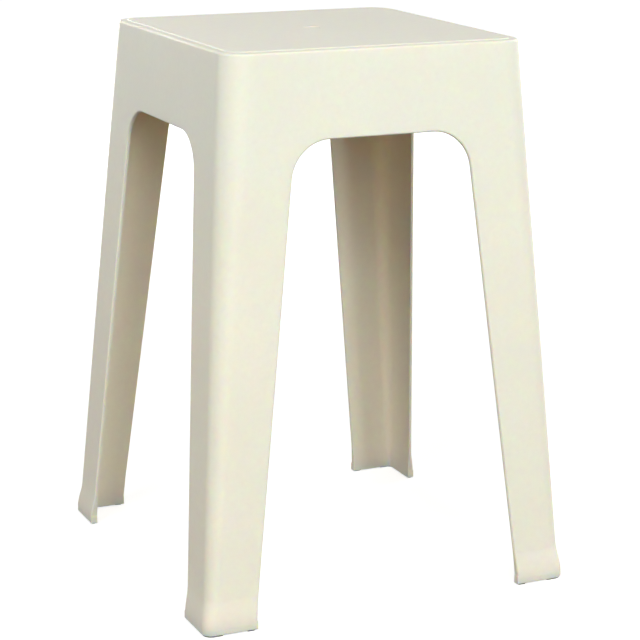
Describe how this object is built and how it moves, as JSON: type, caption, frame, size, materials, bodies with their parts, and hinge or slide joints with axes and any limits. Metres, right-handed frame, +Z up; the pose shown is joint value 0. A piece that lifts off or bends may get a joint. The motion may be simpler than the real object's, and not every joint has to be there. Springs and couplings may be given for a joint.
{
  "type": "stacking stool",
  "caption": "One-piece moulded plastic stool with a square seat and splayed L-section legs that nest for stacking, on rubber foot pads.",
  "frame": {"origin": "on the floor under the middle of the seat", "axes": "+Z up, -Y towards the front wall, +X to the right"},
  "size_m": [0.3228, 0.3228, 0.45],
  "materials": {
    "shell": "cream injection-moulded polypropylene, satin with a very fine moulded grain",
    "foot_pad": "near-black moulded rubber, matt"
  },
  "bodies": {
    "root": {"stool_shell": "shell", "front_left_foot_pad_corner": "foot_pad", "front_left_foot_pad_front": "foot_pad", "front_left_foot_pad_left": "foot_pad", "front_right_foot_pad_corner": "foot_pad", "front_right_foot_pad_right": "foot_pad", "front_right_foot_pad_front": "foot_pad", "back_right_foot_pad_corner": "foot_pad", "back_right_foot_pad_back": "foot_pad", "back_right_foot_pad_right": "foot_pad", "back_left_foot_pad_corner": "foot_pad", "back_left_foot_pad_left": "foot_pad", "back_left_foot_pad_back": "foot_pad"}
  },
  "joints": []
}
